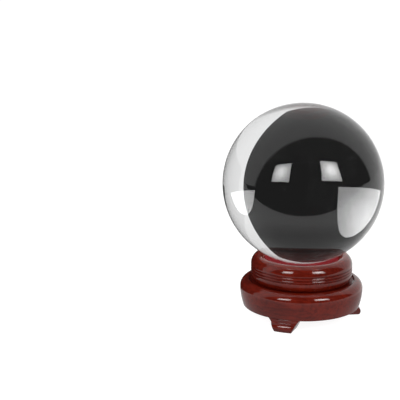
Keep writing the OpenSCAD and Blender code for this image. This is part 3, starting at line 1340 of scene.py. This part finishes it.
@dataclass
class Pivot:
    """The bolt through both tiers, with its bush, washer and lock nut."""

    shank_r: float = 3.0
    neck: float = 3.1
    neck_h: float = 3.4
    seat_z: float = 47.7
    pitch: float = 1.0
    thread_depth: float = 0.3
    thread_top: float = 20.0
    bush_r: float = 4.5
    bore_r: float = 3.06
    flange_t: float = 1.2
    nut_half: float = 5.0
    insert_h: float = 1.3

    def bolt(self, shop: Workshop) -> None:
        """Turns the bolt: domed head, square neck, shank and rolled thread."""
        head_r, low, top = span("pivot_bolt")
        rise = top - self.seat_z
        dome_r = (head_r ** 2 + rise ** 2) / (2 * rise)
        half = math.degrees(math.asin(head_r / dome_r))
        core = self.shank_r - self.thread_depth * 1.4
        neck_z = self.seat_z - self.neck_h
        line = Section().to((0.0, top))
        line.arc((0.0, top - dome_r), dome_r, 90 - half / 14, 90 - half + 1.2, 12)
        line.to((head_r - 0.15, self.seat_z + 0.1), (head_r - 0.35, self.seat_z))
        line.to((self.neck, self.seat_z), (self.neck, neck_z), sides=4, limit=4.2)
        line.to((self.shank_r, neck_z), (self.shank_r, self.thread_top + 1.0), (core, self.thread_top))
        line.run((core, low + 0.6), 2.0).to((core - 0.6, low), (0.0, low))
        bolt = shop.turn("pivot_bolt_domed", line, Slot.ZINC, 96, math.pi / 4)
        run = self.thread_top - low - 0.6
        shop.thread.apply(
            bolt, shop.finishes.get(Slot.ZINC), turns=run / self.pitch, outer=self.shank_r * MM,
            depth=self.thread_depth * MM, start=(low + 0.3) * MM, length=run * MM,
        )
        shop.fit(bolt, Body.TURNTABLE, Slot.ZINC, "pivot_bolt")

    def bush(self, shop: Workshop) -> None:
        """Turns the flanged bush."""
        flange_r, low, top = span("pivot_bush")
        step = low + self.flange_t
        line = Section().to((self.bore_r, low + 0.3), (self.bore_r + 0.3, low), (flange_r - 0.3, low))
        line.to((flange_r, low + 0.3), (flange_r, step), (self.bush_r, step), (self.bush_r, top - 0.3))
        line.to((self.bush_r - 0.3, top), (self.bore_r + 0.2, top), (self.bore_r, top - 0.2)).close()
        bush = shop.turn("nylon_bush", line, Slot.NYLON, 96)
        shop.fit(bush, Body.BASE, Slot.NYLON, "pivot_bush")

    def washer(self, shop: Workshop) -> None:
        """Turns the washer, with one edge rounded as a punch leaves it."""
        outer, low, top = span("nut_washer")
        line = Section().to((self.shank_r + 0.02, low), (outer - 0.1, low), (outer, low + 0.1))
        line.arc((outer - 0.35, top - 0.35), 0.35, 0, 90, 4)
        line.arc((self.shank_r + 0.32, top - 0.3), 0.3, 90, 180, 4).close()
        washer = shop.turn("plate_washer", line, Slot.ZINC, 96)
        shop.fit(washer, Body.TURNTABLE, Slot.ZINC, "nut_washer")

    def nut(self, shop: Workshop) -> None:
        """Turns the lock nut: chamfered flats, and a collar that holds its insert at the lower end."""
        _, low, top = span("lock_nut")
        corner = self.nut_half / math.cos(math.pi / 6)
        collar_z = low + self.insert_h
        line = Section().to((self.shank_r + 0.02, low + 0.35), (self.shank_r + 0.7, low + 0.15))
        line.to((self.nut_half - 1.0, low)).arc((self.nut_half - 1.0, low + 0.7), 0.7, -70, 0, 5)
        line.to((self.nut_half - 0.3, collar_z - 0.15))
        for share in (0.0, 0.35, 0.7, 1.0):
            limit = self.nut_half + (corner - self.nut_half) * share
            line.to((self.nut_half, collar_z + 0.45 * share), sides=6, limit=limit)
        for share in (1.0, 0.7, 0.35, 0.0):
            limit = self.nut_half + (corner - self.nut_half) * share
            line.to((self.nut_half, top - 0.45 * share), sides=6, limit=limit)
        line.to((self.shank_r + 0.5, top), (self.shank_r + 0.02, top - 0.4)).close()
        nut = shop.turn("locking_nut", line, Slot.ZINC, 96)
        shop.fit(nut, Body.TURNTABLE, Slot.ZINC, "lock_nut")

    def build(self, shop: Workshop) -> None:
        """Makes the four pieces."""
        self.bolt(shop)
        self.bush(shop)
        self.washer(shop)
        self.nut(shop)


# ---- The thrust bearing -----------------------------------------------------------------------------


@dataclass
class ThrustBearing:
    """Two grooved races, twelve balls and their cage, between the two tiers."""

    pitch_r: float = 13.5
    inner_r: float = 9.5
    groove_r: float = 2.9
    edge: float = 0.25
    count: int = 12

    def race(self, shop: Workshop, name: str, body: Body) -> None:
        """Turns one race.

        Args:
            shop: the workshop.
            name: its CAD node, upper_race or lower_race.
            body: the body that it moves with.
        """
        outer, low, top = span(name)
        _, ball_low, ball_high = span("bearing_ball_1")
        middle = (ball_low + ball_high) / 2
        face, back = (top, low) if low < middle else (low, top)
        inwards = 1 if face < middle else -1
        reach = math.sqrt(self.groove_r ** 2 - (middle - face) ** 2)
        dip = math.degrees(math.acos(reach / self.groove_r))
        line = Section().to((self.inner_r, face - inwards * self.edge), (self.inner_r + self.edge, face))
        start, end = (180 + dip, 360 - dip) if inwards > 0 else (180 - dip, dip)
        line.arc((self.pitch_r, middle), self.groove_r, start, end, 14)
        line.to((outer - self.edge, face), (outer, face - inwards * self.edge))
        line.to((outer, back + inwards * self.edge), (outer - self.edge, back))
        line.to((self.inner_r + self.edge, back), (self.inner_r, back + inwards * self.edge)).close()
        race = shop.turn(f"grooved_{name}", line, Slot.STEEL, 96)
        shop.fit(race, body, Slot.STEEL, name)

    def balls(self, shop: Workshop) -> None:
        """Makes the twelve balls from one."""
        low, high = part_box(f"bearing_ball_{self.count}")
        centre = (low + high) / 2
        mesh = bpy.data.meshes.new("bearing_balls")
        shell = bmesh.new()
        bmesh.ops.create_icosphere(shell, subdivisions=4, radius=(high.z - low.z) / 2)
        for face in shell.faces:
            face.smooth = True
        shell.transform(Matrix.Translation(centre))
        shell.to_mesh(mesh)
        shell.free()
        balls = add_object("bearing_balls", mesh)
        shop.ring_pattern.apply(balls, shop.finishes.get(Slot.STEEL), copies=self.count, first=0.0)
        nodes = [f"bearing_ball_{i + 1}" for i in range(self.count)]
        shop.fit(balls, Body.CAGE, Slot.STEEL, *nodes)

    def build(self, shop: Workshop) -> None:
        """Makes the races and the balls, and dresses the cage, whose CAD shape is right."""
        self.race(shop, "lower_race", Body.BASE)
        self.race(shop, "upper_race", Body.TURNTABLE)
        self.balls(shop)
        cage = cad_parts["bearing_cage"]
        cage.data.materials.clear()
        cage.data.materials.append(shop.finishes.get(Slot.CAGE))


# ---- The studio -------------------------------------------------------------------------------------


@dataclass(frozen=True)
class Softbox:
    """A rectangular light.

    Its centre is measured from the ball's: to the camera's right, up and towards the camera, in metres.
    It faces away from the camera, turned about its upright axis and then leant back, in degrees.
    """

    name: str
    centre: tuple[float, float, float]
    width: float
    height: float
    turn: float
    lean: float
    radiance: float


@dataclass
class Studio:
    """The floor, the light, a dark block that the ball refracts, and the camera.

    Lengths are in metres and angles in degrees. The room and the floor are white to the camera. What the
    ball and the lacquer show of them is set apart from that, by the tones below.
    """

    azimuth: float = 17.0
    distance: float = 1.1418
    height: float = 0.3877
    pitch: float = 13.61
    yaw: float = 21.82
    lens: float = 112.95
    sight_tilt: float = 12.8
    backdrop: float = 0.85
    shade: float = 0.03
    hot_spot: float = 2.0
    rim_glow: float = 0.75
    dark_turn: float = 19.0
    dark_fall: float = -0.19
    dark_edge: tuple[float, float] = (-0.04, 0.04)
    floor_half: float = 8.0
    floor_paper: float = 0.25
    floor_lift: float = 0.93
    floor_dark: float = 0.03
    floor_dark_from: tuple[float, float] = (0.235, 0.255)
    # Painted floor tones: near and far tones of a painted pool of light, with painted shadow close to the
    # object, and over what reach.
    pool: tuple[float, float] = (0.55, 1.00)
    pool_reach: tuple[float, float] = (0.10, 0.20)
    # Painted shadow round the object, as the ball shows the floor: near and far tones, and over what reach.
    beneath_shadow: tuple[float, float] = (0.06, 0.85)
    beneath_shadow_reach: tuple[float, float] = (0.09, 0.13)
    block_size: tuple[float, float, float] = (0.284, 0.236, 0.179)
    block_corner: tuple[float, float, float] = (-0.2087, -0.0767, 0.0)
    block_turn: float = 47.0
    # The dark block glows with these tones instead of being lit: its sides near black, its top lighter as
    # painted light.
    block_side_glow: Colour = (0.010, 0.010, 0.010)
    block_top_light: Colour = (0.16, 0.15, 0.15)

    @property
    def toward_camera(self) -> Vector:
        """The level direction from the object to the camera."""
        turn = math.radians(self.azimuth)
        return Vector((math.sin(turn), -math.cos(turn), 0.0))

    def camera(self) -> None:
        """Sets up the camera."""
        data = bpy.data.cameras.new("camera")
        data.sensor_width = 36.0
        data.lens = self.lens
        data.clip_end = 100.0
        camera = bpy.data.objects.new("camera", data)
        bpy.context.scene.collection.objects.link(camera)
        camera.location = self.toward_camera * self.distance + Vector((0.0, 0.0, self.height))
        camera.rotation_euler = (math.radians(90 - self.pitch), 0.0, math.radians(self.yaw))
        bpy.context.scene.camera = camera

    def softbox(self, box: "Softbox") -> None:
        """Hangs a softbox.

        Args:
            box: where it hangs and how bright it is.
        """
        level = self.toward_camera
        tilt = math.radians(self.sight_tilt)
        right = Vector((-level.y, level.x, 0.0))
        back = level * math.cos(tilt) + Vector((0, 0, math.sin(tilt)))
        view = Matrix((right, back.cross(right), back)).transposed()
        lean = Matrix.Rotation(math.radians(box.lean), 3, "X")
        turn = Matrix.Rotation(math.radians(box.turn), 3, "Y") @ lean
        low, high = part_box("crystal_ball")
        data = bpy.data.lights.new(box.name, "AREA")
        data.shape = "RECTANGLE"
        data.size, data.size_y = box.width, box.height
        data.energy = box.radiance * math.pi * box.width * box.height
        data.use_nodes = True
        graph = Graph(data.node_tree)
        across = {0: graph.node("ShaderNodeNewGeometry")["Parametric"], 1: (0.5, 0.5, 0.0)}
        off = graph.node("ShaderNodeVectorMath", {"operation": "DISTANCE"}, across)["Value"]
        glow = self.hot_spot - off.ramp(0.0, 0.6) * (self.hot_spot - self.rim_glow)
        data.node_tree.links.new(glow.socket, data.node_tree.nodes["Emission"].inputs["Strength"])
        light = bpy.data.objects.new(box.name, data)
        bpy.context.scene.collection.objects.link(light)
        light.location = (low + high) / 2 + view @ Vector(box.centre)
        light.rotation_euler = (view @ turn).to_euler()
        light.visible_camera = False

    def surroundings(self) -> None:
        """Sets the room: white to the camera, dark behind the camera and pale elsewhere."""
        world = bpy.data.worlds.new("studio")
        bpy.context.scene.world = world
        world.use_nodes = True
        graph = Graph(world.node_tree)
        direction = graph.node("ShaderNodeTexCoord")["Generated"]
        turn = math.radians(self.azimuth + self.dark_turn)
        dark_side = Vector((math.sin(turn), -math.cos(turn), self.dark_fall)).normalized()
        facing = {0: direction, 1: tuple(dark_side)}
        ahead = graph.node("ShaderNodeVectorMath", {"operation": "DOT_PRODUCT"}, facing)["Value"]
        room = graph.blend(ahead.ramp(*self.dark_edge), grey(self.backdrop), grey(self.shade))
        seen = graph.node("ShaderNodeLightPath")["Is Camera Ray"]
        background = world.node_tree.nodes["Background"]
        shown = graph.blend(seen, room, (1.0, 1.0, 1.0))
        world.node_tree.links.new(shown.socket, background.inputs["Color"])

    def floor(self) -> None:
        """Lays the pale floor: nearly white to the camera; to other rays it glows with painted light and
        shadow.
        """
        mesh = bpy.data.meshes.new("floor")
        half = self.floor_half
        corners = [(-half, -half, 0), (half, -half, 0), (half, half, 0), (-half, half, 0)]
        mesh.from_pydata(corners, [], [(0, 1, 2, 3)])
        floor = add_object("floor", mesh)
        material = bpy.data.materials.new("pale_floor")
        material.use_nodes = True
        graph = Graph(material.node_tree)
        place = graph.node("ShaderNodeNewGeometry")["Position"]
        reach = graph.node("ShaderNodeVectorMath", {"operation": "LENGTH"}, {0: place})["Value"]
        path = graph.node("ShaderNodeLightPath")
        forward = {0: place, 1: tuple(self.toward_camera)}
        ahead = graph.node("ShaderNodeVectorMath", {"operation": "DOT_PRODUCT"}, forward)["Value"]
        # Painted light and shadow seen in the lacquer and by bounced light: the floor glows darker close to
        # the object (painted shadow), brighter further out (a painted pool of light), and dark beyond a
        # line in front.
        near = graph.blend(reach.ramp(*self.pool_reach), *(grey(tone) for tone in self.pool))
        lit = graph.blend(ahead.ramp(*self.floor_dark_from), near, grey(self.floor_dark))
        # Painted shadow seen through the ball: the floor glows nearly black close to the object, pale
        # further out, and dark beyond the same line.
        below = graph.blend(reach.ramp(*self.beneath_shadow_reach), *(grey(tone) for tone in self.beneath_shadow))
        through = graph.blend(ahead.ramp(*self.floor_dark_from), below, grey(self.floor_dark))
        other = graph.blend(path["Is Transmission Ray"], lit, through)
        glow = graph.node("ShaderNodeEmission", None, {"Color": other})["Emission"]
        paper = graph.node("ShaderNodeBsdfDiffuse", None, {"Color": opaque(grey(self.floor_paper))})["BSDF"]
        white = {"Color": (1, 1, 1, 1), "Strength": self.floor_lift}
        lift = graph.node("ShaderNodeEmission", None, white)["Emission"]
        pale = graph.node("ShaderNodeAddShader", None, {0: paper, 1: lift})[0]
        mixed = graph.node("ShaderNodeMixShader", None, {0: path["Is Camera Ray"], 1: glow, 2: pale})[0]
        under = graph.node("ShaderNodeNewGeometry")["Backfacing"]
        gone = graph.node("ShaderNodeBsdfTransparent")["BSDF"]
        sided = graph.node("ShaderNodeMixShader", None, {0: under, 1: mixed, 2: gone})[0]
        output = material.node_tree.nodes["Material Output"]
        material.node_tree.links.new(sided.socket, output.inputs["Surface"])
        mesh.materials.append(material)

    def dark_block(self) -> None:
        """Stands a dark box behind the ball, seen only through the ball and in reflections. It glows
        instead of being lit: near black on its sides, with painted light on its top.
        """
        mesh = bpy.data.meshes.new("dark_block")
        shell = bmesh.new()
        bmesh.ops.create_cube(shell, size=1.0)
        shell.transform(Matrix.Diagonal((*self.block_size, 1.0)) @ Matrix.Translation((0.5, 0.5, 0.5)))
        turn = Matrix.Rotation(math.radians(self.block_turn), 4, "Z")
        shell.transform(Matrix.Translation(self.block_corner) @ turn)
        shell.to_mesh(mesh)
        shell.free()
        dark = add_object("dark_block", mesh)
        material = bpy.data.materials.new("dark_block_glow")
        material.use_nodes = True
        graph = Graph(material.node_tree)
        normal = graph.node("ShaderNodeNewGeometry")["Normal"]
        up = graph.node("ShaderNodeSeparateXYZ", None, {"Vector": normal})
        # Painted light: the top glows lighter than the sides, as if lit from above.
        tone = graph.blend(up["Z"].ramp(0.5, 0.9), self.block_side_glow, self.block_top_light)
        glow = graph.node("ShaderNodeEmission", None, {"Color": tone})["Emission"]
        output = material.node_tree.nodes["Material Output"]
        material.node_tree.links.new(glow.socket, output.inputs["Surface"])
        mesh.materials.append(material)
        dark.visible_camera = False
        dark.visible_diffuse = False
        dark.visible_shadow = False

    def build(self) -> None:
        """Sets the whole studio up."""
        self.camera()
        self.surroundings()
        self.floor()
        self.dark_block()
        self.softbox(Softbox("softbox_left", (-0.544, 0.263, 0.900), 0.511, 0.490, 0.0, 11.9, 7.5))
        self.softbox(Softbox("softbox_right", (0.559, 0.292, 0.700), 0.441, 0.509, 21.5, 18.5, 9.0))
        scene = bpy.context.scene
        scene.view_settings.view_transform = "Standard"
        scene.view_settings.look = "None"


# ---- Putting it together ----------------------------------------------------------------------------


def main() -> None:
    """Builds the object, then the studio round it."""
    logging.basicConfig(level=logging.INFO, format="%(name)s: %(message)s")
    shop = Workshop()
    parts = [CrystalSphere(), FeltSeat(), SeatRing(), Plinth()]
    parts += [Foot(direction) for direction in Direction]
    parts += [FootScrews(), Pivot(), ThrustBearing()]
    for part in parts:
        part.build(shop)
    for slot, material in shop.finishes.made.items():
        LOG.info("%s is finished in %s", slot.value, material.name)
    Studio().build()


if __name__ == "__main__":
    main()
